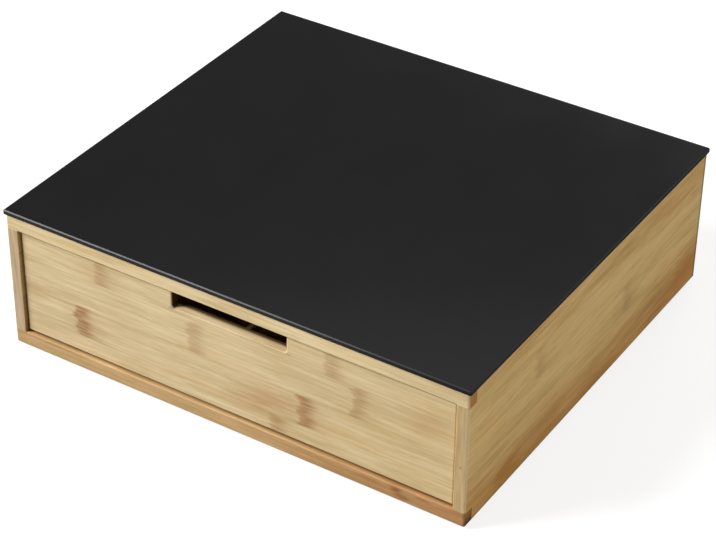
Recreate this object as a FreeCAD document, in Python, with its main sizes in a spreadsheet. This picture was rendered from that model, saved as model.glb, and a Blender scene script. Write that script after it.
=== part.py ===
import FreeCAD, Part
import math
import os
import re
import Sketcher

# Tea bag drawer box: a bamboo case that is open at the front, a black glass plate bonded on
# its top, and one full-width drawer with a finger notch and a lattice of tea bag compartments.
# Millimetres. +Z is up, the drawer opens towards -Y, and the origin is on the table under
# the middle of the case.

Vector = FreeCAD.Vector

SIZES = [
    # the case
    ("case_width", 310, "outside, left to right"),
    ("case_depth", 284, "outside, front to back"),
    ("case_height", 91, "wood only, without feet and glass"),
    ("board", 8, "thickness of the case sides and back"),
    ("rail_depth", 7.5, "front rails, front to back"),
    ("top_rail_height", 9.2, "rail above the drawer"),
    ("bottom_rail_height", 9.9, "rail below the drawer"),
    ("case_round", 1.5, "sanded outside edges of the case"),
    ("opening_round", 0.8, "eased front edges of the drawer opening"),
    # thin panels, let into rebates or grooves
    ("panel", 3, "thickness of the thin panels"),
    ("case_lap", 4, "how far the panels and the back are let into the boards"),
    ("lap_gap", 0.1, "clearance round a panel or board in its rebate"),
    # runners and feet
    ("runner_width", 10, "strip that carries a drawer side"),
    ("runner_round", 1, "eased edge of a runner"),
    ("foot_diameter", 12, "anti-slip pad, at the case"),
    ("foot_height", 1.5, "anti-slip pad"),
    ("foot_taper", 0.8, "how much smaller its radius is at the table"),
    ("foot_inset", 11, "pad centre, in from the outside of the case"),
    # the glass plate
    ("glass", 3, "plate thickness"),
    ("glass_overhang", 1, "past the case on every side"),
    ("glass_corner", 1, "corner radius"),
    ("glass_bevel", 0.6, "ground bevel round the top"),
    ("glass_arris", 0.3, "ground arris round the underside"),
    ("bond", 0.3, "thickness of the clear adhesive pads"),
    ("bond_diameter", 24, "adhesive pad"),
    ("bond_inset", 34, "pad centre, in from the outside of the case"),
    # the drawer box
    ("front_recess", 2, "drawer front behind the face of the rails"),
    ("front_board", 8, "thickness of the drawer front"),
    ("front_lip", 3, "what the rebates leave of the front at its ends"),
    ("front_round", 1, "eased edge of the drawer front and its notch"),
    ("side_board", 7, "thickness of the drawer sides"),
    ("back_board", 7, "thickness of the drawer back"),
    ("back_lap", 3.5, "how far the drawer back is let into the sides"),
    ("side_drop", 4, "drawer sides below the top of the front"),
    ("edge_round", 1.2, "eased top edges inside the drawer"),
    ("groove_depth", 3.5, "groove for the drawer bottom"),
    ("groove_lift", 3, "groove above the underside of the drawer sides"),
    # gaps between the drawer and the case
    ("drawer_side_gap", 0.75, "on each side"),
    ("front_top_gap", 0.8, "drawer front to top rail"),
    ("front_bottom_gap", 1.2, "drawer front to bottom rail"),
    ("run_gap", 0.2, "drawer sides above the runners"),
    ("stop_gap", 0.4, "drawer to case back when shut"),
    # the finger notch
    ("notch_width", 77, "along the top edge of the drawer front"),
    ("notch_depth", 11.8, "below that edge"),
    ("notch_corner", 2, "radius of its lower corners"),
    # the compartments
    ("columns", 4, "compartments across the drawer"),
    ("rows", 3, "compartments from front to back"),
    ("divider", 4, "thickness of the dividers"),
    ("divider_drop", 18, "dividers below the top of the drawer sides"),
    ("divider_gap", 0.1, "clearance of a divider in its slot or dado, each side"),
    ("dado_depth", 2, "dadoes in the drawer sides"),
]

doc = FreeCAD.newDocument("tea_bag_drawer_box")
sheet = doc.addObject("Spreadsheet::Sheet", "sizes")
for line, (alias, number, note) in enumerate(SIZES, start=1):
    sheet.set(f"A{line}", alias)
    sheet.set(f"B{line}", str(number))
    sheet.set(f"C{line}", note)
    sheet.setAlias(f"B{line}", alias)
doc.recompute()

# What is worked out from the sizes, written as expressions of the sheet's cells.

# heights above the table
CASE_FLOOR = "foot_height"
LEDGE = "(foot_height + bottom_rail_height)"
CASE_TOP = "(foot_height + case_height)"

# the case: how far a board reaches past the bottom of a rebate, and the space inside
REBATE_START = "(board - case_lap)"
LET_IN_WIDTH = f"(case_width - 2 * {REBATE_START} - 2 * lap_gap)"
PANEL_DEPTH = "(case_depth - rail_depth - board + 2 * case_lap - 2 * lap_gap)"
PANEL_FRONT = "(-case_depth / 2 + rail_depth - case_lap + lap_gap)"
INNER_HALF = "(case_width / 2 - board)"
RUNNER_LENGTH = "(case_depth - rail_depth - board - 2 * lap_gap)"

# the drawer: outside, then between its four walls
DRAWER_WIDTH = "(case_width - 2 * board - 2 * drawer_side_gap)"
DRAWER_LENGTH = "(case_depth - front_recess - board - stop_gap)"
DRAWER_FACE = "(-case_depth / 2 + front_recess)"
DRAWER_LEFT = f"(-{DRAWER_WIDTH} / 2)"
DRAWER_BASE = f"({LEDGE} + run_gap)"
FRONT_HEIGHT = "(case_height - top_rail_height - bottom_rail_height - front_top_gap - front_bottom_gap)"
SIDE_HEIGHT = f"({FRONT_HEIGHT} + front_bottom_gap - run_gap - side_drop)"
SIDE_LENGTH = f"({DRAWER_LENGTH} - front_lip)"
INNER_WIDTH = f"({DRAWER_WIDTH} - 2 * side_board)"
INNER_LENGTH = f"({DRAWER_LENGTH} - front_board - back_board)"
INNER_FRONT = f"({DRAWER_FACE} + front_board)"
BOTTOM_TOP = "(groove_lift + panel)"

# the compartments: one cell and the next divider make a pitch
CELL_WIDTH = f"(({INNER_WIDTH} - (columns - 1) * divider) / columns)"
CELL_LENGTH = f"(({INNER_LENGTH} - (rows - 1) * divider) / rows)"
PITCH_ACROSS = f"({CELL_WIDTH} + divider)"
PITCH_ALONG = f"({CELL_LENGTH} + divider)"
DIVIDER_HEIGHT = f"({SIDE_HEIGHT} - divider_drop - {BOTTOM_TOP})"
SLOT_WIDTH = "(divider + 2 * divider_gap)"
LAP_DEPTH = f"({DIVIDER_HEIGHT} / 2 + divider_gap)"

# which way each origin plane's normal points along its axis
PLANE_NORMAL = {"XY_Plane": 1, "XZ_Plane": -1, "YZ_Plane": 1}

# how constraints number a sketch's axes, its origin, and the points of a line or an arc
LEVEL_AXIS, UPRIGHT_AXIS = -1, -2
START, END, CENTRE = 1, 2, 3
ORIGIN = (LEVEL_AXIS, START)

# an outline is drawn at this size first, and its constraints then set its sides
DRAWN = 1
DRAWN_CORNERS = ((1, 1), (2, 1), (2, 2), (1, 2))

# a cut that takes less than this, in cubic millimetres, points away from its piece
LEAST_CUT = 1
# how closely an edge's middle, and its bounding box, are matched when edges are picked
MIDDLE_MATCH = 1e-6
BOX_MATCH = 0.1


def bound(expression):
    """The same expression with each size name pointing at its cell."""
    return re.sub(r"[a-z]\w*", r"sizes.\g<0>", expression)


def bind(thing, **properties):
    """Binds properties of a document object to expressions."""
    for name, expression in properties.items():
        thing.setExpression(name, bound(expression))


def place(thing, x, y, z):
    for axis, expression in zip("xyz", (x, y, z)):
        thing.setExpression(f"Placement.Base.{axis}", bound(expression))


def new_body(label):
    """A piece in its own frame: it starts at the origin and fills the positive corner."""
    body = doc.addObject("PartDesign::Body", label)
    body.Label = label
    return body


def sketch_on(body, name, plane, start):
    """A sketch parallel to one of the body's origin planes, at a distance from it."""
    sketch = body.newObject("Sketcher::SketchObject", name)
    support = [item for item in body.Origin.OriginFeatures if item.Role == plane]
    sketch.AttachmentSupport = [(support[0], "")]
    sketch.MapMode = "FlatFace"
    if start != "0":
        flip = "" if PLANE_NORMAL[plane] > 0 else "-"
        sketch.setExpression("AttachmentOffset.Base.z", bound(f"{flip}({start})"))
    return sketch


def constrain(sketch, kind, *ends):
    return sketch.addConstraint(Sketcher.Constraint(kind, *ends))


def measure(sketch, title, expression, kind, *ends):
    """Adds a dimension to a sketch and binds it."""
    number = constrain(sketch, kind, *ends, DRAWN)
    sketch.renameConstraint(number, title)
    sketch.setExpression(f"Constraints.{title}", bound(expression))


def rectangle(sketch, left, right, low, high):
    """Adds a rectangle with bound sides. A side at "0" lies on the sketch's own axis."""
    first = sketch.GeometryCount
    corners = [Vector(x, y) for x, y in DRAWN_CORNERS]
    for corner, following in zip(corners, corners[1:] + corners[:1]):
        sketch.addGeometry(Part.LineSegment(corner, following))
    for side in range(4):
        constrain(sketch, "Coincident", first + side, END, first + (side + 1) % 4, START)
        constrain(sketch, "Vertical" if side % 2 else "Horizontal", first + side)
    sides = [("left", "DistanceX", 0, UPRIGHT_AXIS, left), ("low", "DistanceY", 0, LEVEL_AXIS, low)]
    sides += [("right", "DistanceX", 2, UPRIGHT_AXIS, right), ("high", "DistanceY", 2, LEVEL_AXIS, high)]
    for name, kind, corner, axis, expression in sides:
        if expression == "0":
            constrain(sketch, "PointOnObject", first + corner, START, axis)
        else:
            measure(sketch, f"{name}_{first}", expression, kind, *ORIGIN, first + corner, START)


def corner_waste(sketch, height, up):
    """Adds what rounding an edge takes away. The edge is on the upright axis, at a height.

    The piece lies below the edge where up is 1, and above it where up is -1.
    """
    edge, along_axis, along_level = Vector(0, 0), Vector(0, -up * DRAWN), Vector(DRAWN, 0)
    axis_side = sketch.addGeometry(Part.LineSegment(edge, along_axis))
    level_side = sketch.addGeometry(Part.LineSegment(edge, along_level))
    circle = Part.Circle(along_axis + along_level, Vector(0, 0, 1), DRAWN)
    quarter = math.pi / 2
    begin = quarter if up > 0 else 2 * quarter
    arc = sketch.addGeometry(Part.ArcOfCircle(circle, begin, begin + quarter))
    at_axis, at_level = (END, START) if up > 0 else (START, END)
    constrain(sketch, "Coincident", axis_side, START, level_side, START)
    constrain(sketch, "Coincident", axis_side, END, arc, at_axis)
    constrain(sketch, "Coincident", level_side, END, arc, at_level)
    constrain(sketch, "Vertical", axis_side)
    constrain(sketch, "Horizontal", level_side)
    constrain(sketch, "Horizontal", arc, CENTRE, arc, at_axis)
    constrain(sketch, "Vertical", arc, CENTRE, arc, at_level)
    constrain(sketch, "PointOnObject", axis_side, START, UPRIGHT_AXIS)
    measure(sketch, "radius", "opening_round", "Radius", arc)
    if height == "0":
        constrain(sketch, "PointOnObject", axis_side, START, LEVEL_AXIS)
    else:
        measure(sketch, "height", height, "DistanceY", *ORIGIN, axis_side, START)


def swept(body, kind, name, plane, start, run, draw, outlines):
    """A pad or pocket of outlines. It starts at a plane and runs towards the positive axis."""
    sketch = sketch_on(body, f"{name}_sketch", plane, start)
    for outline in outlines:
        draw(sketch, *outline)
    feature = body.newObject(f"PartDesign::{kind}", name)
    feature.Profile = sketch
    along_normal = kind == "Pad"
    feature.Reversed = (PLANE_NORMAL[plane] > 0) != along_normal
    bind(feature, Length=run)
    body.Tip = feature
    doc.recompute()
    return feature


def pad(body, plane, run, outline):
    return swept(body, "Pad", "blank", plane, "0", run, rectangle, [outline])


def pocket(body, name, plane, start, run, *outlines, draw=rectangle):
    before = body.Tip.Shape.Volume
    feature = swept(body, "Pocket", name, plane, start, run, draw, outlines)
    if not feature.Shape.Volume < before - LEAST_CUT:
        raise RuntimeError(f"{body.Label}: {name} cuts nothing")
    return feature


def board(label, width, depth, height):
    """A rectangular blank with its near left lower corner at the body's origin."""
    body = new_body(label)
    pad(body, "XY_Plane", height, ("0", width, "0", depth))
    return body


def size(alias):
    return float(sheet.get(alias))


def edges_where(shape, test):
    """Names of the edges whose bounding box passes a test."""
    return [
        f"Edge{number}" for number, edge in enumerate(shape.Edges, start=1) if test(edge.BoundBox)
    ]


def straight_edges(shape, along, **sides):
    """Names of the edges parallel to an axis whose middle is at the given sides of the shape."""
    names = []
    box = shape.BoundBox
    for number, edge in enumerate(shape.Edges, start=1):
        start, end = edge.Vertexes[0].Point, edge.Vertexes[-1].Point
        run = end - start
        if edge.Curve.TypeId != "Part::GeomLine" or abs(getattr(run, along)) < run.Length - MIDDLE_MATCH:
            continue
        middle = (start + end) / 2
        limits = {axis: getattr(box, axis.upper() + side) for axis, side in sides.items()}
        if all(abs(getattr(middle, axis) - limit) < MIDDLE_MATCH for axis, limit in limits.items()):
            names.append(f"Edge{number}")
    return names


def dress(body, kind, name, amount, edges):
    """A fillet or chamfer on named edges of the body's last feature."""
    if not edges:
        raise RuntimeError(f"{body.Label}: no edge for {name}")
    base = body.Tip
    feature = body.newObject(f"PartDesign::{kind}", name)
    feature.Base = (base, edges)
    bind(feature, **{"Radius" if kind == "Fillet" else "Size": amount})
    body.Tip = feature
    doc.recompute()
    return feature


def repeat(body, feature, axis, count, pitch):
    """Repeats a pocket at equal steps along one of the body's axes."""
    before = body.Tip.Shape.Volume
    pattern = body.newObject("PartDesign::LinearPattern", f"{feature.Name}_pattern")
    pattern.Originals = [feature]
    line = [item for item in body.Origin.OriginFeatures if item.Role == axis]
    pattern.Direction = (line[0], [""])
    pattern.Mode = "Spacing"
    bind(pattern, Offset=pitch, Occurrences=count)
    body.Tip = pattern
    doc.recompute()
    if not pattern.Shape.Volume < before - LEAST_CUT:
        raise RuntimeError(f"{body.Label}: {feature.Name} isn't repeated")


def mirrored(source, label):
    """The right-hand piece of a pair: the left one reflected in the middle plane."""
    piece = doc.addObject("Part::Mirroring", label)
    piece.Label = label
    piece.Source = source
    piece.Base = Vector(0, 0, 0)
    piece.Normal = Vector(1, 0, 0)
    return piece


def thin_panel(label, width, depth, y, z):
    """A plain panel, centred from left to right."""
    piece = doc.addObject("Part::Box", label)
    piece.Label = label
    bind(piece, Length=width, Width=depth, Height="panel")
    place(piece, f"-{width} / 2", y, z)
    return piece


def case_side():
    """A side runs the whole height. Its front corners are cut away for the ends of the rails."""
    body = board("case_side_left", "board", "case_depth", "case_height")
    pocket(
        body, "rail_notches", "YZ_Plane", "0", "board",
        ("0", "rail_depth", "case_height - top_rail_height", "case_height"),
        ("0", "rail_depth", "0", "bottom_rail_height"),
    )
    pocket(
        body, "panel_rebates", "XZ_Plane", "0", "case_depth",
        (REBATE_START, "board", "case_height - panel", "case_height"),
        (REBATE_START, "board", "0", "panel"),
    )
    pocket(
        body, "back_rebate", "XY_Plane", "0", "case_height",
        (REBATE_START, "board", "case_depth - board", "case_depth"),
    )
    shape = body.Tip.Shape
    edges = straight_edges(shape, "z", x="Min", y="Min")
    edges += straight_edges(shape, "z", x="Min", y="Max")
    edges += straight_edges(shape, "y", x="Min", z="Min")
    dress(body, "Fillet", "outside_edges", "case_round", edges)
    opening_edge = straight_edges(body.Tip.Shape, "z", x="Max", y="Min")
    dress(body, "Fillet", "opening_edge", "opening_round", opening_edge)
    place(body, "-case_width / 2", "-case_depth / 2", CASE_FLOOR)
    return [body, mirrored(body, "case_side_right")]


def case_back():
    """The back sits between the sides in their rear rebates, and holds the panels' rear edges."""
    body = board("case_back", LET_IN_WIDTH, "board", "case_height")
    pocket(
        body, "panel_rebates", "YZ_Plane", "0", LET_IN_WIDTH,
        ("0", "case_lap", "case_height - panel", "case_height"),
        ("0", "case_lap", "0", "panel"),
    )
    edges = straight_edges(body.Tip.Shape, "x", y="Max", z="Min")
    dress(body, "Fillet", "outside_edge", "case_round", edges)
    place(body, f"-{LET_IN_WIDTH} / 2", "case_depth / 2 - board", CASE_FLOOR)
    return [body]


def rail_ends(body):
    """The upright edges at the two front corners of a rail."""
    shape = body.Tip.Shape
    return straight_edges(shape, "z", x="Min", y="Min") + straight_edges(shape, "z", x="Max", y="Min")


def front_rail(label, height, rebate, opening_edge, up):
    """A rail as long as the case is wide, lapped over both sides. Its rebate stops short of them.

    Its edge on the drawer opening is eased between the sides.
    """
    body = board(label, "case_width", "rail_depth", height)
    pocket(
        body, "panel_rebate", "YZ_Plane", REBATE_START, f"case_width - 2 * {REBATE_START}",
        ("rail_depth - case_lap", "rail_depth", *rebate),
    )
    pocket(
        body, "opening_edge", "YZ_Plane", "board", "case_width - 2 * board",
        (opening_edge, up), draw=corner_waste,
    )
    return body


def front_rails():
    top = front_rail(
        "front_rail_top", "top_rail_height", ("top_rail_height - panel", "top_rail_height"), "0", -1
    )
    edges = rail_ends(top)
    dress(top, "Fillet", "outside_edges", "case_round", edges)
    place(top, "-case_width / 2", "-case_depth / 2", f"{CASE_TOP} - top_rail_height")
    bottom = front_rail("front_rail_bottom", "bottom_rail_height", ("0", "panel"), "bottom_rail_height", 1)
    edges = rail_ends(bottom)
    for along, sides in (("x", {"y": "Min"}), ("y", {"x": "Min"}), ("y", {"x": "Max"})):
        edges += straight_edges(bottom.Tip.Shape, along, z="Min", **sides)
    dress(bottom, "Fillet", "outside_edges", "case_round", edges)
    place(bottom, "-case_width / 2", "-case_depth / 2", CASE_FLOOR)
    return [top, bottom]


def case_panels():
    """The thin panels drop into the rebates, flush with the top and the underside of the case."""
    top = thin_panel("top_panel", LET_IN_WIDTH, PANEL_DEPTH, PANEL_FRONT, f"{CASE_TOP} - panel")
    bottom = thin_panel("bottom_panel", LET_IN_WIDTH, PANEL_DEPTH, PANEL_FRONT, CASE_FLOOR)
    return [top, bottom]


def runners():
    """Strips on the bottom panel carry the drawer level with the top of the bottom rail."""
    body = board("runner_left", "runner_width", RUNNER_LENGTH, "bottom_rail_height - panel")
    edges = straight_edges(body.Tip.Shape, "y", x="Max", z="Max")
    dress(body, "Fillet", "inner_edge", "runner_round", edges)
    place(body, f"-{INNER_HALF}", "-case_depth / 2 + rail_depth + lap_gap", f"{CASE_FLOOR} + panel")
    return [body, mirrored(body, "runner_right")]


def at_corners(make):
    """Makes one piece near each corner of the case."""
    pieces = []
    for depth_name, back in (("front", -1), ("rear", 1)):
        for width_name, right in (("left", -1), ("right", 1)):
            pieces.append(make(f"{depth_name}_{width_name}", right, back))
    return pieces


def foot(corner, right, back):
    """A round anti-slip pad, a little smaller at the table than where it is stuck on."""
    piece = doc.addObject("Part::Cone", f"foot_{corner}")
    piece.Label = f"foot_{corner}"
    bind(piece, Radius1="foot_diameter / 2 - foot_taper", Radius2="foot_diameter / 2", Height="foot_height")
    x = f"{right} * (case_width / 2 - foot_inset)"
    place(piece, x, f"{back} * (case_depth / 2 - foot_inset)", "0")
    return piece


def glass_bond(corner, right, back):
    """A thin clear adhesive pad between the wood and the glass."""
    piece = doc.addObject("Part::Cylinder", f"glass_bond_{corner}")
    piece.Label = f"glass_bond_{corner}"
    bind(piece, Radius="bond_diameter / 2", Height="bond")
    x = f"{right} * (case_width / 2 - bond_inset)"
    place(piece, x, f"{back} * (case_depth / 2 - bond_inset)", CASE_TOP)
    return piece


def glass_top():
    """A flat plate with rounded corners, a ground bevel above and a fine arris below."""
    width = "(case_width + 2 * glass_overhang)"
    depth = "(case_depth + 2 * glass_overhang)"
    body = board("glass_top", width, depth, "glass")
    dress(body, "Fillet", "corners", "glass_corner", straight_edges(body.Tip.Shape, "z"))
    shape = body.Tip.Shape
    high = shape.BoundBox.ZMax - BOX_MATCH
    dress(body, "Chamfer", "bevel", "glass_bevel", edges_where(shape, lambda edge: edge.ZMin > high))
    shape = body.Tip.Shape
    low = shape.BoundBox.ZMin + BOX_MATCH
    dress(body, "Chamfer", "arris", "glass_arris", edges_where(shape, lambda edge: edge.ZMax < low))
    place(body, f"-{width} / 2", f"-{depth} / 2", f"{CASE_TOP} + bond")
    return [body]


def drawer_front():
    """The front has a finger notch in its top edge, rebates for the sides and a bottom groove."""
    body = board("drawer_front", DRAWER_WIDTH, "front_board", FRONT_HEIGHT)
    notch_left = f"({DRAWER_WIDTH} - notch_width) / 2"
    pocket(
        body, "finger_notch", "XZ_Plane", "0", "front_board",
        (notch_left, f"{notch_left} + notch_width", f"{FRONT_HEIGHT} - notch_depth", FRONT_HEIGHT),
    )
    shape = body.Tip.Shape
    box = shape.BoundBox
    box.enlarge(-BOX_MATCH)
    corners = edges_where(shape, lambda edge: edge.YLength > box.YLength
                          and box.ZMin < edge.ZMin and edge.ZMax < box.ZMax)
    dress(body, "Fillet", "notch_corners", "notch_corner", corners)
    shape = body.Tip.Shape
    face = edges_where(shape, lambda edge: edge.YMax < box.YMin)
    rear = edges_where(shape, lambda edge: edge.YMin > box.YMax
                       and box.XMin < edge.XMin and edge.XMax < box.XMax)
    dress(body, "Fillet", "face_edges", "front_round", face + rear)
    far_side = f"{DRAWER_WIDTH} - side_board"
    pocket(
        body, "side_rebates", "XY_Plane", "0", FRONT_HEIGHT,
        ("0", "side_board", "front_lip", "front_board"),
        (far_side, DRAWER_WIDTH, "front_lip", "front_board"),
    )
    groove_low = "(run_gap + groove_lift - front_bottom_gap)"
    pocket(
        body, "bottom_groove", "YZ_Plane", "0", DRAWER_WIDTH,
        ("front_board - groove_depth", "front_board", groove_low, f"{groove_low} + panel"),
    )
    place(body, DRAWER_LEFT, DRAWER_FACE, f"{LEDGE} + front_bottom_gap")
    return [body]


def drawer_sides():
    """A side has the bottom groove, a rebate for the back and a dado for each cross divider."""
    body = board("drawer_side_left", "side_board", SIDE_LENGTH, SIDE_HEIGHT)
    dress(body, "Fillet", "top_edges", "edge_round", straight_edges(body.Tip.Shape, "y", z="Max"))
    pocket(
        body, "bottom_groove", "XZ_Plane", "0", SIDE_LENGTH,
        ("side_board - groove_depth", "side_board", "groove_lift", BOTTOM_TOP),
    )
    pocket(
        body, "back_rebate", "XY_Plane", "0", SIDE_HEIGHT,
        ("side_board - back_lap", "side_board", f"{SIDE_LENGTH} - back_board", SIDE_LENGTH),
    )
    first = f"(front_board - front_lip + {CELL_LENGTH} - divider_gap)"
    dado = pocket(
        body, "dado", "XY_Plane", BOTTOM_TOP, f"{SIDE_HEIGHT} - {BOTTOM_TOP}",
        ("side_board - dado_depth", "side_board", first, f"{first} + {SLOT_WIDTH}"),
    )
    repeat(body, dado, "Y_Axis", "rows - 1", PITCH_ALONG)
    place(body, DRAWER_LEFT, f"{DRAWER_FACE} + front_lip", DRAWER_BASE)
    return [body, mirrored(body, "drawer_side_right")]


def drawer_back():
    """The back sits in the rear rebates of the sides, level with them."""
    width = f"({INNER_WIDTH} + 2 * back_lap - 2 * lap_gap)"
    body = board("drawer_back", width, "back_board", SIDE_HEIGHT)
    dress(body, "Fillet", "top_edges", "edge_round", straight_edges(body.Tip.Shape, "x", z="Max"))
    pocket(
        body, "bottom_groove", "YZ_Plane", "0", width,
        ("0", "groove_depth", "groove_lift", BOTTOM_TOP),
    )
    place(body, f"-{width} / 2", f"{INNER_FRONT} + {INNER_LENGTH}", DRAWER_BASE)
    return [body]


def drawer_bottom():
    """The bottom is held in grooves all round."""
    width = f"({INNER_WIDTH} + 2 * groove_depth - 2 * lap_gap)"
    depth = f"({INNER_LENGTH} + 2 * groove_depth - 2 * lap_gap)"
    front = f"{INNER_FRONT} - groove_depth + lap_gap"
    return [thin_panel("drawer_bottom", width, depth, front, f"{DRAWER_BASE} + groove_lift")]


def divider(label, along, width, depth, slot, count, pitch):
    """A divider with rounded top edges and half-lap slots. Its slots are a pattern of one pocket."""
    body = board(label, width, depth, DIVIDER_HEIGHT)
    dress(body, "Fillet", "top_edges", "edge_round", straight_edges(body.Tip.Shape, along, z="Max"))
    plane, *outline = slot
    first = pocket(body, "slot", plane, "0", "divider", outline)
    repeat(body, first, f"{along.upper()}_Axis", count, pitch)
    return body


def dividers():
    """Lengthwise dividers are slotted from above and cross dividers from below, to half depth."""
    pieces = []
    length = f"({INNER_LENGTH} - 2 * divider_gap)"
    start = f"({CELL_LENGTH} - 2 * divider_gap)"
    slot = ("YZ_Plane", start, f"{start} + {SLOT_WIDTH}", f"{DIVIDER_HEIGHT} - {LAP_DEPTH}", DIVIDER_HEIGHT)
    for number in range(1, int(size("columns"))):
        label = f"lengthwise_divider_{number}"
        body = divider(label, "y", "divider", length, slot, "rows - 1", PITCH_ALONG)
        x = f"-{INNER_WIDTH} / 2 + {number} * {PITCH_ACROSS} - divider"
        place(body, x, f"{INNER_FRONT} + divider_gap", f"{DRAWER_BASE} + {BOTTOM_TOP}")
        pieces.append(body)
    width = f"({INNER_WIDTH} + 2 * dado_depth - 2 * divider_gap)"
    start = f"({CELL_WIDTH} + dado_depth - 2 * divider_gap)"
    slot = ("XZ_Plane", start, f"{start} + {SLOT_WIDTH}", "0", LAP_DEPTH)
    for number in range(1, int(size("rows"))):
        label = f"cross_divider_{number}"
        body = divider(label, "x", width, "divider", slot, "columns - 1", PITCH_ACROSS)
        y = f"{INNER_FRONT} + {number} * {PITCH_ALONG} - divider"
        place(body, f"-{width} / 2", y, f"{DRAWER_BASE} + {BOTTOM_TOP}")
        pieces.append(body)
    return pieces


parts = []
parts += case_side()
parts += case_back()
parts += front_rails()
parts += case_panels()
parts += runners()
parts += at_corners(foot)
parts += glass_top()
parts += at_corners(glass_bond)
parts += drawer_front()
parts += drawer_sides()
parts += drawer_back()
parts += drawer_bottom()
parts += dividers()
doc.recompute()

for item in doc.Objects:
    if "Invalid" in item.State or "Error" in item.State:
        raise RuntimeError(f"{item.Label} wasn't computed: {item.State}")
for part in parts:
    if part.Shape.isNull() or not part.Shape.isValid():
        raise RuntimeError(f"{part.Label} has no valid shape")

os.makedirs("parts", exist_ok=True)
for part in parts:
    part.Shape.exportStep(f"parts/{part.Label}.step")
    box = part.Shape.BoundBox
    corners = (box.XMin, box.YMin, box.ZMin, box.XMax, box.YMax, box.ZMax)
    print(part.Label, [round(number, 2) for number in corners], round(part.Shape.Volume))
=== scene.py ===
import math

import bpy
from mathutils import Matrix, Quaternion, Vector


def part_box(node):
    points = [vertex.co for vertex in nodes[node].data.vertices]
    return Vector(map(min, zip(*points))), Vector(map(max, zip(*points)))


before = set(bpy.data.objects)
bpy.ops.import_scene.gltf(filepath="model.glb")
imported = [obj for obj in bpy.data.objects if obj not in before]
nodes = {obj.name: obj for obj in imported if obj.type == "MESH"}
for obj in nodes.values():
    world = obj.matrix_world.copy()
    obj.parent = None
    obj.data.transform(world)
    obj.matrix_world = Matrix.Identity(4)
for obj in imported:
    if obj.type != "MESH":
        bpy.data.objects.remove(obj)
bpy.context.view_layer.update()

# ---------------------------------------------------------------- sizes and colours
MM = 0.001  # metres in a millimetre
X, Y, Z = 0, 1, 2  # the axes of the row frame


def corners(name):
    """A piece's lowest and highest corners at rest, in millimetres."""
    low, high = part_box(name)
    return low / MM, high / MM


LEFT, FRONT, BASE = corners("case_side_left")[0]
RIGHT, BACK, _ = corners("case_side_right")[1]
GLASS_RIGHT = corners("glass_top")[1][X]
LEDGE = corners("front_rail_bottom")[1][Z]  # the top of the bottom rail
DRAWER_LEFT, DRAWER_FACE, _ = corners("drawer_front")[0]
DRAWER_TOP = corners("drawer_front")[1][Z]
DIVIDER_LOW, DIVIDER_HIGH = corners("lengthwise_divider_2")

NOTCH_HALF = 38.5  # half the width of the finger notch
NOTCH_FLOOR = DRAWER_TOP - 11.8  # height of the notch's lowest part

STRIP = 20.8  # height of one bamboo strip in the boards
SEAM = 0.35  # how far a glue line reaches into the strips beside it
STRIP_START = 3.7  # height at which the lowest strip begins
SIDE_START = -8.0  # the same in the sides of the case

# Colours are linear red, green and blue.
PALE_BAMBOO = (0.70, 0.548, 0.314)
WARM_BAMBOO = (0.62, 0.42, 0.162)
FRONT_BAMBOO = (0.735, 0.582, 0.342)
TOP_RAIL_BAMBOO = (0.73, 0.585, 0.335)
# Darker than the top rail's bamboo, as painted shade low on the front.
BOTTOM_RAIL_BAMBOO = (0.65, 0.452, 0.234)
END_GRAIN = (0.60, 0.45, 0.26)
LEFT_STILE_END = (0.57, 0.43, 0.262)
RIGHT_STILE_END = (0.54, 0.39, 0.195)
DARK_END = (0.395, 0.19, 0.058)
# End grain of the bottom rail, darker than the top rail's as painted shade near the floor.
DARKER_END = (0.27, 0.118, 0.02)
JOINT_BROWN = (0.40, 0.222, 0.094)
DEEP_STAIN = (0.40, 0.20, 0.05)
# Red brown for knots in the bottom rail, and for painted shade along its top edge.
RED_STAIN_AND_SHADE = (0.23, 0.08, 0.024)
ORANGE_STAIN = (0.40, 0.17, 0.022)
BLUSH_STAIN = (0.50, 0.29, 0.13)
# Painted shade in gaps, in the notch, along edges and at the foot, and the brown of one real knot.
SHADE_AND_KNOT_BROWN = (0.05, 0.02, 0.006)
# A paler tone for a painted highlight on the near edge.
PAINTED_LIGHT_TONE = (0.92, 0.72, 0.42)
BLACK = (0.0035, 0.0035, 0.0035)
HAZY_BLACK = (0.0055, 0.0055, 0.0055)
RUBBER = (0.018, 0.018, 0.019)
DUSTY_RUBBER = (0.045, 0.043, 0.04)
ADHESIVE = (0.80, 0.82, 0.80)
CLEAR_ADHESIVE = (0.92, 0.93, 0.91)

# Tints multiply a colour.
DARK_STREAK = (0.78, 0.73, 0.62)
LIGHT_STREAK = (1.12, 1.13, 1.18)
BLUSH = (1.0, 0.88, 0.72)
DARK_END_LINE = (0.80, 0.77, 0.72)
LIGHT_END_LINE = (1.12, 1.12, 1.14)
EASED = (1.12, 1.12, 1.15)
# Darker tops and bottoms of the dividers: painted shade inside the drawer.
DIVIDER_EDGE_SHADE = (0.58, 0.48, 0.38)


# ---------------------------------------------------------------- shader nodes
class Value:
    """A number that a node gives, with the usual arithmetic."""

    def __init__(self, shader, socket):
        self.shader = shader
        self.socket = socket

    def __add__(self, other):
        return self.shader.math("ADD", self, other)

    def __sub__(self, other):
        return self.shader.math("SUBTRACT", self, other)

    def __mul__(self, other):
        return self.shader.math("MULTIPLY", self, other)

    def __truediv__(self, other):
        return self.shader.math("DIVIDE", self, other)


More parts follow.
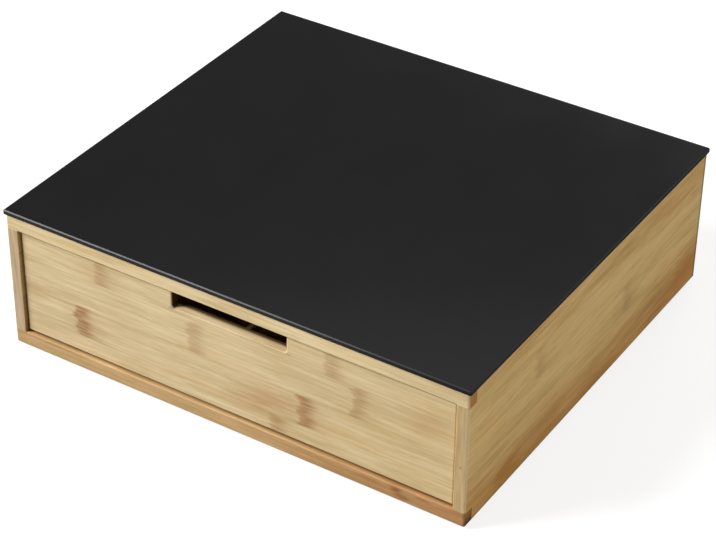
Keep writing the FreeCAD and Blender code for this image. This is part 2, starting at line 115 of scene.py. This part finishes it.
class Shader:
    """The nodes of a material or a world, with short calls that add one and give its output."""

    def __init__(self, name, owners=bpy.data.materials):
        self.owner = owners.new(name)
        self.owner.use_nodes = True
        self.tree = self.owner.node_tree
        self.tree.nodes.clear()

    def node(self, kind, inputs=None, **settings):
        node = self.tree.nodes.new("ShaderNode" + kind)
        for name, value in settings.items():
            setattr(node, name, value)
        for name, value in (inputs or {}).items():
            if isinstance(value, Value):
                value = value.socket
            if isinstance(value, bpy.types.NodeSocket):
                self.tree.links.new(value, node.inputs[name])
            else:
                node.inputs[name].default_value = value
        return node

    def math(self, operation, *values):
        node = self.node("Math", dict(enumerate(values)), operation=operation)
        return Value(self, node.outputs[0])

    def coordinates(self):
        """The three coordinates in the row frame, in millimetres."""
        place = self.node("TexCoord").outputs["Object"]
        parts = self.node("SeparateXYZ", {0: place}).outputs
        return [Value(self, part) / MM for part in parts]

    def facing(self, axis):
        """How far the surface faces along an axis, from 0 to 1."""
        normal = self.node("TexCoord").outputs["Normal"]
        part = self.node("SeparateXYZ", {0: normal}).outputs[axis]
        return self.math("ABSOLUTE", Value(self, part))

    def vector(self, *parts):
        return self.node("CombineXYZ", dict(enumerate(parts))).outputs[0]

    def noise(self, *parts, detail=2.0):
        """Smooth noise about one half, one unit of the given coordinates to a blob."""
        inputs = {"Vector": self.vector(*parts), "Scale": 1.0, "Detail": detail}
        return Value(self, self.node("TexNoise", inputs).outputs["Fac"])

    def randoms(self, value):
        """Three random numbers from 0 to 1 that stay the same for the same value."""
        node = self.node("TexWhiteNoise", {"W": value}, noise_dimensions="1D")
        parts = self.node("SeparateColor", {0: node.outputs["Color"]}).outputs
        return [Value(self, part) for part in parts]

    def ramp(self, value, low, high):
        """Zero at low and one at high, with smooth ends; low may be the larger."""
        inputs = {"Value": value, "From Min": low, "From Max": high}
        node = self.node("MapRange", inputs, interpolation_type="SMOOTHSTEP")
        return Value(self, node.outputs["Result"])

    def mix(self, share, first, second, blend="MIX"):
        """Two colours mixed: the first at a share of 0, the second at 1."""
        colours = [(*c, 1.0) if isinstance(c, tuple) else c for c in (first, second)]
        inputs = {0: share, 6: colours[0], 7: colours[1]}
        node = self.node("Mix", inputs, data_type="RGBA", blend_type=blend)
        return node.outputs[2]

    def tinted(self, share, colour, tint):
        """A colour that is multiplied by a tint where the share is 1."""
        return self.mix(share, colour, self.mix(1.0, colour, tint, blend="MULTIPLY"))

    def curve(self, value, points):
        """A level that follows straight lines between points, as a share of the highest."""
        node = self.node("ValToRGB", {0: value})
        stops = node.color_ramp.elements
        while len(stops) < len(points):
            stops.new(1.0)
        highest = max(level for _, level in points)
        for stop, (place, level) in zip(stops, points):
            stop.position = place
            stop.color = (level / highest, level / highest, level / highest, 1.0)
        return Value(self, node.outputs["Color"]) * highest

    def pick(self, number, values):
        """The value that stands at a whole number's place in a list, and zero beyond the list."""
        total = 0.0
        for place, value in enumerate(values):
            total = self.math("COMPARE", number, float(place), 0.5) * value + total
        return total

    def inside(self, place, ranges, soft):
        """One inside a box and zero outside it, with sides this soft and no limit where a range is None."""
        share = 1.0
        for value, limits in zip(place, ranges):
            if limits:
                low, high = limits
                share = self.ramp(value, low - soft, low + soft) * share
                share = self.ramp(value, high + soft, high - soft) * share
        return share

    def eased(self):
        """Zero on a flat face along the axes and one where an edge is rounded over."""
        along_x, along_y, along_z = (self.facing(axis) for axis in (X, Y, Z))
        largest = self.math("MAXIMUM", self.math("MAXIMUM", along_x, along_y), along_z)
        return self.ramp(largest, 0.99, 0.85)

    def seen(self):
        """One for what the camera, a reflection or a clear piece shows, and zero for light."""
        paths = self.node("LightPath").outputs
        kinds = [Value(self, paths[f"Is {kind} Ray"]) for kind in ("Camera", "Glossy", "Transmission")]
        return kinds[0] + kinds[1] + kinds[2]

    def bump(self, height, depth):
        """A surface raised by height times depth, in millimetres."""
        inputs = {"Height": height, "Distance": depth * MM, "Strength": 1.0}
        return self.node("Bump", inputs).outputs[0]

    def finish(self, **inputs):
        """Ends the material in one Principled shader with these inputs."""
        named = {name.replace("_", " "): value for name, value in inputs.items()}
        shader = self.node("BsdfPrincipled", named)
        self.node("OutputMaterial", {"Surface": shader.outputs[0]})
        return self.owner


# ---------------------------------------------------------------- bamboo
class Strips:
    """Where a point lies in a board of pressed strips: along the grain and over the stack."""

    def __init__(self, shader, grain, across, start, seed):
        self.shader = shader
        self.seed = seed
        self.place = shader.coordinates()
        self.along, self.over = self.place[grain], self.place[across]
        self.through = self.place[({X, Y, Z} - {grain, across}).pop()]
        self.level = (self.over - start) / STRIP
        self.strip = shader.math("FLOOR", self.level)
        self.shade, shift, self.hue = shader.randoms(self.strip + seed * 11.7)
        self.slid = self.along + shift * 900

    def noise(self, length, width, detail=2.0):
        """Noise drawn out along the grain and different in each strip."""
        return self.shader.noise(self.slid / length, self.over / width, self.through / width, detail=detail)


def times(colour, tint):
    """A colour multiplied by a tint."""
    return tuple(part * share for part, share in zip(colour, tint))


def grain(wood, tone, shades, contrast):
    """The colour of the strips and the height of their fibres."""
    shader = wood.shader
    shade, hue = (wood.shade, wood.hue) if shades is None else (shader.pick(wood.strip, shades), 0.5)
    clouds = wood.noise(60, 8)
    streaks = wood.noise(34, 1.8, detail=3)
    fibres = wood.noise(8, 0.5)
    lines = shader.ramp(wood.noise(40, 1.1, detail=1), 0.56, 0.74)
    level = (shade - 0.5) * 0.6 + (clouds - 0.5) * 1.2 + (streaks - 0.5) * 1.3 + (fibres - 0.5) * 0.8
    share = shader.ramp((level - lines * 0.3) * contrast + 0.53, -0.3, 1.3)
    colour = shader.mix(share, times(tone, DARK_STREAK), times(tone, LIGHT_STREAK))
    blush = shader.ramp(wood.noise(75, 7), 0.48, 0.72) * 0.4 + (hue - 0.5) * 0.3
    colour = shader.tinted(shader.math("MAXIMUM", blush, 0.0), colour, BLUSH)
    return colour, streaks * 0.4 + fibres * 0.6 - lines * 0.2


def joint_shape(wood, distance):
    """A culm joint whose middle is that far along the grain: sharp on one side and fading on the other."""
    shader = wood.shader
    ragged = (wood.noise(28, 1.3, detail=3) - 0.5) * 8 + (wood.noise(60, 6) - 0.5) * 10
    near = distance + ragged
    core = shader.ramp(near, -6.5, -3.5) * shader.ramp(near, 9.0, -1.0)
    tail = shader.ramp(near, -4.0, 0.0) * shader.ramp(near, 19.0, 3.0)
    halo = shader.ramp(shader.math("ABSOLUTE", near), 22.0, 4.0)
    threads = shader.ramp(wood.noise(16, 1.0, detail=3), 0.38, 0.62)
    return core * (threads * 0.45 + 0.55) + tail * threads * 0.25 + halo * 0.12


def listed_joints(wood, joints):
    """Culm joints at listed places: place along the grain, strip and strength."""
    total = 0.0
    for place, strip, strength in joints:
        same = wood.shader.math("COMPARE", wood.strip, float(strip), 0.5)
        total = joint_shape(wood, wood.along - place) * same * strength + total
    return total


def chance_joints(wood, spacing=165.0):
    """Culm joints at uneven distances along each strip, about one to a spacing."""
    shader = wood.shader
    shift = shader.randoms(wood.strip + wood.seed * 3.7)[0]
    cell_place = wood.along / spacing + shift
    cell = shader.math("FLOOR", cell_place)
    chance, strength, _ = shader.randoms(cell * 13.1 + wood.strip * 5.3 + wood.seed)
    distance = (cell_place - cell - chance * 0.6 - 0.2) * spacing
    return joint_shape(wood, distance) * (strength * 0.55 + 0.15)


def stain_and_shade_share(wood, stains_and_shade):
    """How strongly the soft spots of a list mark each place: real staining, and on the bottom rail some
    painted shade.
    """
    shader = wood.shader
    uneven = (wood.noise(20, 2.5, detail=3) - 0.5) * 1.6
    total = 0.0
    for along, over, length, height, strength in stains_and_shade:
        far_along, far_over = (wood.along - along) / length, (wood.over - over) / height
        far = shader.math("SQRT", far_along * far_along + far_over * far_over)
        total = shader.ramp(far + uneven, 1.2, 0.2) * strength + total
    return total


def end_grain(wood, end):
    """Cut ends: fine lines that run over the stack."""
    shader = wood.shader
    lines = shader.noise(wood.over / 16, wood.through / 0.9, wood.along / 6, detail=3)
    broad = shader.noise(wood.over / 30, wood.through / 3, wood.along / 20)
    share = shader.ramp(lines * 0.6 + broad * 0.4, 0.3, 0.7)
    return shader.mix(share, times(end, DARK_END_LINE), times(end, LIGHT_END_LINE))


def turned(wood, colour, turn):
    """A colour that comes slowly to a tint, from one place along an axis to another."""
    shader = wood.shader
    axis, first, last, tint = turn
    uneven = (wood.noise(50, 6) - 0.5) * 30
    return shader.tinted(shader.ramp(wood.place[axis] + uneven, first, last), colour, tint)


def seams(wood):
    """One on the glue lines between the strips, where they show."""
    shader = wood.shader
    from_middle = shader.math("ABSOLUTE", wood.level - wood.strip - 0.5)
    return shader.ramp(from_middle, 0.5 - SEAM / STRIP, 0.5) * shader.ramp(wood.noise(70, 4), 0.35, 0.6)


def marked(wood, colour, boxes, mark):
    """A colour that is mixed with another inside boxes."""
    shader = wood.shader
    for *ranges, soft, strength in boxes:
        colour = shader.mix(shader.inside(wood.place, ranges, soft) * strength, colour, mark)
    return colour


def bamboo(name, grain_axis, across, seed, tone, start=STRIP_START, end=END_GRAIN, shades=None,
           contrast=1.0, turn=None, joints=None, stains_and_shade=(), stain_and_shade_colour=DEEP_STAIN, shade_and_knot_boxes=(), painted_light_boxes=(),
           edge=None):
    """Pressed bamboo strips that run along one axis and are stacked along another."""
    shader = Shader(name)
    wood = Strips(shader, grain_axis, across, start, seed)
    colour, height = grain(wood, tone, shades, contrast)
    # Painted shade: the board darkens slowly along an axis.
    if turn:
        colour = turned(wood, colour, turn)

    joint = chance_joints(wood) if joints is None else listed_joints(wood, joints)
    colour = shader.mix(joint, colour, JOINT_BROWN)
    # Soft spots of real staining, and on the bottom rail some painted shade.
    if stains_and_shade:
        colour = shader.mix(stain_and_shade_share(wood, stains_and_shade), colour, stain_and_shade_colour)
    seam = seams(wood)
    colour = shader.mix(seam * 0.3, colour, JOINT_BROWN)

    # On the dividers, painted shade on the faces across the stack.
    if edge:
        colour = shader.tinted(shader.ramp(shader.facing(across), 0.6, 0.9), colour, edge)
    cut = shader.ramp(shader.facing(grain_axis), 0.75, 0.95)
    colour = shader.mix(cut, colour, end_grain(wood, end))
    colour = shader.tinted(shader.eased() * 0.7, colour, EASED)
    # Painted shade inside the boxes, and one real knot on the right stile.
    colour = marked(wood, colour, shade_and_knot_boxes, SHADE_AND_KNOT_BROWN)
    # A painted highlight on the near edge of the right side.
    colour = marked(wood, colour, painted_light_boxes, PAINTED_LIGHT_TONE)

    rough = (wood.noise(32, 1.4, detail=3) - 0.5) * 0.3 + joint * 0.1 + cut * 0.1 + 0.56
    return shader.finish(
        Base_Color=colour,
        Roughness=rough,
        IOR=1.5,
        Specular_IOR_Level=0.1,
        Normal=shader.bump(height - seam * 0.5 - joint * 0.3, 0.05),
    )


# ---------------------------------------------------------------- glass, rubber and adhesive
DULL_FROM = 20.0  # where along x the glass bevel begins to lose its shine


def black_glass():
    """Polished on top and rougher on the ground bevel, most of all towards its right end."""
    shader = Shader("black_glass")
    x, y, z = shader.coordinates()
    smudge = shader.noise(x / 45, y / 60, z / 45, detail=4)
    upright = shader.facing(Z)
    ground = shader.ramp(upright, 0.95, 0.80)
    side = shader.ramp(upright, 0.4, 0.2)
    duller = shader.ramp(x, DULL_FROM, GLASS_RIGHT)
    wave = shader.noise(x / 30, y / 34, z / 30, detail=1)
    return shader.finish(
        Base_Color=shader.mix(smudge, BLACK, HAZY_BLACK),
        Roughness=smudge * 0.05 + ground * (duller * 0.25 + 0.34) + side * 0.35 + 0.05,
        IOR=1.5,
        Specular_IOR_Level=0.3,
        Normal=shader.bump(wave, 0.01),
    )


def foot_rubber():
    shader = Shader("foot_rubber")
    x, y, z = shader.coordinates()
    pores = shader.noise(x / 0.4, y / 0.4, z / 0.4, detail=3)
    dust = shader.noise(x / 5, y / 5, z / 5, detail=3)
    return shader.finish(
        Base_Color=shader.mix(shader.ramp(dust, 0.35, 0.75), RUBBER, DUSTY_RUBBER),
        Roughness=pores * 0.2 + 0.6,
        Normal=shader.bump(pores, 0.04),
    )


def clear_adhesive():
    shader = Shader("clear_adhesive")
    x, y, z = shader.coordinates()
    haze = shader.noise(x / 2, y / 2, z / 2, detail=3)
    return shader.finish(
        Base_Color=shader.mix(haze, ADHESIVE, CLEAR_ADHESIVE),
        Roughness=haze * 0.3 + 0.2,
        IOR=1.43,
        Transmission_Weight=0.85,
        Normal=shader.bump(haze, 0.02),
    )


# ---------------------------------------------------------------- marks on single boards
# Culm joints that show: place along the board, strip and strength.
DRAWER_JOINTS = [
    (-87.2, 3, 0.45),
    (69.0, 3, 0.45),
    (-23.8, 2, 0.45),
    (85.8, 2, 0.55),
    (-105.0, 1, 0.95),
    (50.8, 1, 0.78),
    (32.6, 0, 0.55),
]
SIDE_JOINTS = [(-63.0, 3, 0.35), (44.0, 2, 0.35)]
BOTTOM_RAIL_JOINTS = [(113.0, 0, 0.6)]

# How light each strip is, from the lowest up.
SIDE_SHADES = (0.55, 0.5, 0.65, 0.75, 0.5)
FRONT_SHADES = (0.5, 0.4, 0.5, 0.55)

# Painted shade, slow darkening along a board: the axis, where it starts, where it ends and the tint that it
# comes to.
SIDE_SHADE_RAMP = (Z, 44.0, -8.0, (0.70, 0.47, 0.2))
FRONT_SHADE_RAMP = (X, -70.0, 140.0, (0.93, 0.92, 0.88))
TOP_RAIL_SHADE_RAMP = (X, 60.0, 140.0, (0.88, 0.86, 0.84))
BOTTOM_RAIL_SHADE_RAMP = (X, -40.0, 170.0, (0.72, 0.56, 0.47))

# Stains, and two darker spots on the bottom rail, one of them painted shade: place along, place over, reach
# along, reach over, and strength.
DRAWER_STAINS = [
    (26.0, 34.0, 26.0, 10.0, 0.55),
    (10.0, 24.0, 22.0, 7.0, 0.35),
    (131.0, 61.0, 18.0, 8.0, 0.4),
    (-141.0, 44.0, 16.0, 7.0, 0.35),
]
SIDE_STAINS = [
    (-98.0, 12.0, 18.0, 9.0, 1.0),
    (-30.0, 6.0, 60.0, 5.0, 0.25),
    (116.0, 13.0, 44.0, 9.0, 0.8),
    (128.0, 24.0, 22.0, 14.0, 0.5),
    (-95.0, 87.0, 60.0, 6.0, 0.25),
    (10.0, 82.0, 50.0, 5.0, 0.25),
    (105.0, 82.0, 80.0, 14.0, 0.35),
]
TOP_RAIL_STAINS = [(5.0, 88.0, 22.0, 5.0, 0.12)]
BOTTOM_RAIL_STAINS_AND_SHADE = [
    # The first darkens the rail's left end; the second is painted shade on the left part of its top edge.
    (-156.0, 5.0, 14.0, 9.0, 0.1),
    (-150.0, 11.0, 50.0, 2.5, 0.28),
    (-40.0, 6.0, 40.0, 4.0, 0.06),
    (92.0, 8.0, 10.0, 1.8, 0.22),
    (111.5, 8.6, 5.0, 2.2, 0.8),
    (115.5, 5.4, 5.0, 2.2, 0.55),
    (129.0, 9.2, 8.0, 1.3, 0.5),
]

# Painted shade in gaps, in the notch, along edges and at the foot, one painted highlight on the
# near edge and one real knot: a box's range along each axis, with None for no limit, then its
# softness and its strength. A box goes a little past the surfaces that it covers.
# Painted shade along the left front edge of the case.
LEFT_EDGE = (
    (LEFT - 1.0, LEFT + 1.1),
    (FRONT - 1.0, FRONT + 2.0),
    (BASE - 1.5, DRAWER_TOP + 0.7),
    0.5,
    0.38,
)
# Painted shade along the rear edges of the sides.
LEFT_REAR = ((LEFT - 1.0, LEFT + 1.1), (BACK - 3.3, BACK + 1.0), None, 0.5, 0.5)
RIGHT_REAR = ((RIGHT - 1.1, RIGHT + 1.0), (BACK - 3.4, BACK + 1.0), None, 0.6, 0.55)
# Painted shade along the foot of the sides, where they meet the floor.
SIDE_FOOT = (None, (FRONT + 1.0, BACK + 1.0), (BASE - 1.5, BASE + 1.3), 0.6, 0.6)
# A real knot in the right stile.
STILE_KNOT = ((RIGHT - 4.6, RIGHT - 3.4), (FRONT - 1.0, FRONT + 1.0), (41.3, 43.0), 0.7, 0.45)
# Painted highlight on the near vertical edge, which the lamps leave darker than both faces.
NEAR_EDGE_HIGHLIGHT = (
    (RIGHT - 1.1, RIGHT + 1.0),
    (FRONT - 1.0, FRONT + 1.1),
    (LEDGE + 0.6, DRAWER_TOP + 0.5),
    0.4,
    0.6,
)
# Painted shade at the near bottom corner, on the bottom rail's end, close to the floor.
RAIL_END = ((RIGHT - 0.4, RIGHT + 1.0), None, (BASE - 1.5, BASE + 6.5), 0.6, 0.4)
RAIL_FOOT = (
    (RIGHT - 1.1, RIGHT + 3.0),
    (FRONT + 0.5, FRONT + 9.0),
    (BASE - 1.5, BASE + 4.0),
    1.5,
    0.88,
)
# Painted shade on the bottom rail's ledge, in the gap under the drawer front.
RAIL_GAP = (
    (LEFT + 7.0, RIGHT - 7.0),
    (DRAWER_FACE + 0.1, DRAWER_FACE + 6.0),
    (LEDGE - 0.4, LEDGE + 0.4),
    0.4,
    0.5,
)
# Painted shadow of the top rail on the back of the notch.
NOTCH_BACK = (
    (-NOTCH_HALF - 1.5, NOTCH_HALF + 1.5),
    (DRAWER_FACE + 4.8, DRAWER_FACE + 9.0),
    (NOTCH_FLOOR - 1.7, DRAWER_TOP + 0.5),
    1.4,
    0.95,
)
# Painted shade that dims the light on the notch's lip.
NOTCH_LIP = (
    (-NOTCH_HALF - 2.5, NOTCH_HALF + 2.5),
    (DRAWER_FACE - 0.5, DRAWER_FACE + 0.7),
    (NOTCH_FLOOR - 1.2, NOTCH_FLOOR + 0.3),
    0.3,
    0.2,
)
# Painted shade on the left end wall of the notch.
NOTCH_END = (
    (-NOTCH_HALF - 1.5, -NOTCH_HALF + 1.3),
    (DRAWER_FACE + 0.3, DRAWER_FACE + 9.0),
    (NOTCH_FLOOR - 0.7, DRAWER_TOP + 0.5),
    0.6,
    0.93,
)
# Painted shade at the drawer front's left end, beside the left stile.
DRAWER_END = (
    (DRAWER_LEFT - 2.75, DRAWER_LEFT + 2.75),
    (DRAWER_FACE - 4.0, DRAWER_FACE + 9.0),
    None,
    3.0,
    0.2,
)
# Painted shadow along the drawer front's top edge, under the top rail.
DRAWER_RIM = (None, None, (DRAWER_TOP - 0.5, DRAWER_TOP + 0.5), 0.7, 0.3)
# Painted shadow on the front end of the middle divider's top, where the notch shows it.
DIVIDER_HEEL = (
    (DIVIDER_LOW[X] - 2.0, DIVIDER_HIGH[X] + 2.0),
    (DIVIDER_LOW[Y] - 8.1, DIVIDER_LOW[Y] + 23.9),
    (DIVIDER_HIGH[Z] - 6.5, DIVIDER_HIGH[Z] + 5.5),
    3.0,
    0.6,
)


# ---------------------------------------------------------------- which piece gets what
BOARDS = {
    "case_side_left": dict(
        grain_axis=Y, across=Z, seed=1, tone=WARM_BAMBOO, start=SIDE_START, end=LEFT_STILE_END,
        contrast=1.5, shades=SIDE_SHADES, turn=SIDE_SHADE_RAMP, shade_and_knot_boxes=[LEFT_EDGE, LEFT_REAR, SIDE_FOOT],
    ),
    "case_side_right": dict(
        grain_axis=Y, across=Z, seed=23, tone=WARM_BAMBOO, start=SIDE_START, end=RIGHT_STILE_END,
        contrast=1.5, shades=SIDE_SHADES, turn=SIDE_SHADE_RAMP, joints=SIDE_JOINTS, stains_and_shade=SIDE_STAINS,
        stain_and_shade_colour=ORANGE_STAIN, shade_and_knot_boxes=[RIGHT_REAR, SIDE_FOOT, STILE_KNOT], painted_light_boxes=[NEAR_EDGE_HIGHLIGHT],
    ),
    "case_back": dict(grain_axis=X, across=Z, seed=3, tone=WARM_BAMBOO, start=SIDE_START, turn=SIDE_SHADE_RAMP),
    "front_rail_top": dict(
        grain_axis=X, across=Z, seed=4, tone=TOP_RAIL_BAMBOO, start=SIDE_START, end=DARK_END,
        contrast=1.4, turn=TOP_RAIL_SHADE_RAMP, joints=[], stains_and_shade=TOP_RAIL_STAINS,
    ),
    "front_rail_bottom": dict(
        grain_axis=X, across=Z, seed=5, tone=BOTTOM_RAIL_BAMBOO, start=SIDE_START, end=DARKER_END,
        contrast=1.5, turn=BOTTOM_RAIL_SHADE_RAMP, joints=BOTTOM_RAIL_JOINTS, stains_and_shade=BOTTOM_RAIL_STAINS_AND_SHADE,
        stain_and_shade_colour=RED_STAIN_AND_SHADE, shade_and_knot_boxes=[RAIL_GAP, RAIL_END, RAIL_FOOT],
    ),
    "top_panel": dict(grain_axis=X, across=Y, seed=6, tone=PALE_BAMBOO),
    "bottom_panel": dict(grain_axis=X, across=Y, seed=7, tone=PALE_BAMBOO),
    "runner_left": dict(grain_axis=Y, across=X, seed=8, tone=WARM_BAMBOO),
    "runner_right": dict(grain_axis=Y, across=X, seed=9, tone=WARM_BAMBOO),
    "drawer_front": dict(
        grain_axis=X, across=Z, seed=10, tone=FRONT_BAMBOO, end=DARK_END, contrast=1.05,
        shades=FRONT_SHADES, turn=FRONT_SHADE_RAMP, joints=DRAWER_JOINTS, stains_and_shade=DRAWER_STAINS, stain_and_shade_colour=BLUSH_STAIN,
        shade_and_knot_boxes=[NOTCH_BACK, NOTCH_LIP, NOTCH_END, DRAWER_END, DRAWER_RIM],
    ),
    "drawer_side_left": dict(grain_axis=Y, across=Z, seed=11, tone=PALE_BAMBOO),
    "drawer_side_right": dict(grain_axis=Y, across=Z, seed=12, tone=PALE_BAMBOO),
    "drawer_back": dict(grain_axis=X, across=Z, seed=13, tone=PALE_BAMBOO),
    "drawer_bottom": dict(grain_axis=X, across=Y, seed=14, tone=PALE_BAMBOO),
    "lengthwise_divider_1": dict(grain_axis=Y, across=Z, seed=15, tone=PALE_BAMBOO, edge=DIVIDER_EDGE_SHADE),
    "lengthwise_divider_2": dict(
        grain_axis=Y, across=Z, seed=16, tone=PALE_BAMBOO, edge=DIVIDER_EDGE_SHADE, shade_and_knot_boxes=[DIVIDER_HEEL],
    ),
    "lengthwise_divider_3": dict(grain_axis=Y, across=Z, seed=17, tone=PALE_BAMBOO, edge=DIVIDER_EDGE_SHADE),
    "cross_divider_1": dict(grain_axis=X, across=Z, seed=18, tone=PALE_BAMBOO, edge=DIVIDER_EDGE_SHADE),
    "cross_divider_2": dict(grain_axis=X, across=Z, seed=19, tone=PALE_BAMBOO, edge=DIVIDER_EDGE_SHADE),
}


def paint(name, material):
    for slot in nodes[name].material_slots:
        slot.material = material


def paint_all():
    for name, board in BOARDS.items():
        paint(name, bamboo(name, **board))
    shared = {"glass_top": black_glass(), "glass_bond": clear_adhesive(), "foot": foot_rubber()}
    for name in nodes:
        for start, material in shared.items():
            if name.startswith(start):
                paint(name, material)


# ---------------------------------------------------------------- floor, light and camera
FLOOR_SIZE = 30.0
FLOOR_TONE = 0.3
FLOOR_LIFT = 0.78  # light that the floor shows to the camera and in reflections


def floor():
    mesh = bpy.data.meshes.new("floor")
    half = FLOOR_SIZE / 2
    points = [(-half, -half, 0), (half, -half, 0), (half, half, 0), (-half, half, 0)]
    mesh.from_pydata(points, [], [(0, 1, 2, 3)])
    piece = bpy.data.objects.new("floor", mesh)
    bpy.context.scene.collection.objects.link(piece)
    shader = Shader("floor")
    mesh.materials.append(
        shader.finish(
            Base_Color=(FLOOR_TONE, FLOOR_TONE, FLOOR_TONE, 1.0),
            Roughness=0.9,
            Specular_IOR_Level=0.0,
            Emission_Color=(1.0, 1.0, 1.0, 1.0),
            Emission_Strength=shader.seen() * FLOOR_LIFT,
        )
    )


# The room's level by the sine of the height above the horizon: as it lights the surfaces, and
# as the camera and the reflections show it.
ROOM_LIGHT = [(0.0, 0.30), (0.30, 0.26), (0.60, 0.16), (1.0, 0.12)]
ROOM_SEEN = [
    (0.0, 1.0),
    (0.20, 0.95),
    (0.36, 0.34),
    (0.45, 0.24),
    (0.54, 0.30),
    (0.574, 0.40),
    (0.60, 0.67),
    (0.615, 0.80),
    (0.66, 0.90),
    (0.80, 0.45),
    (1.0, 0.30),
]


def room():
    shader = Shader("room", bpy.data.worlds)
    direction = shader.node("TexCoord").outputs["Generated"]
    height = Value(shader, shader.node("SeparateXYZ", {0: direction}).outputs[Z])
    light = shader.curve(height, ROOM_LIGHT)
    level = light + (shader.curve(height, ROOM_SEEN) - light) * shader.seen()
    glow = shader.node("Background", {"Strength": level})
    shader.node("OutputWorld", {"Surface": glow.outputs[0]})
    bpy.context.scene.world = shader.owner


# Each lamp: where its light comes from, its strength and how wide it looks.
LAMPS = {
    "key_light": ((-0.62, -0.50, 0.60), 4.05, 22),
    "side_light": ((0.80, 0.25, 0.55), 1.42, 24),
    "back_light": ((-0.30, 0.92, 0.25), 1.3, 30),
}


def lamps():
    for name, (toward, strength, spread) in LAMPS.items():
        lamp = bpy.data.lights.new(name, "SUN")
        lamp.energy = strength
        lamp.angle = math.radians(spread)
        holder = bpy.data.objects.new(name, lamp)
        holder.rotation_euler = Vector(toward).to_track_quat("Z", "Y").to_euler()
        bpy.context.scene.collection.objects.link(holder)


CAMERA_PLACE = Vector((609.45, -975.89, 832.32)) * MM
CAMERA_AIM = Vector((10.07, -22.15, 46.5)) * MM
CAMERA_ROLL = math.radians(0.646)
CAMERA_LENS = 116.587
CAMERA_SENSOR = 36.0


def camera():
    lens = bpy.data.cameras.new("camera")
    lens.lens = CAMERA_LENS
    lens.sensor_width = CAMERA_SENSOR
    lens.clip_start = 0.05
    lens.clip_end = 100.0
    holder = bpy.data.objects.new("camera", lens)
    holder.location = CAMERA_PLACE
    turn = (CAMERA_AIM - CAMERA_PLACE).to_track_quat("-Z", "Y") @ Quaternion((0, 0, 1), CAMERA_ROLL)
    holder.rotation_mode = "QUATERNION"
    holder.rotation_quaternion = turn
    bpy.context.scene.collection.objects.link(holder)
    bpy.context.scene.camera = holder


paint_all()
floor()
room()
lamps()
camera()
bpy.context.scene.view_settings.view_transform = "Standard"
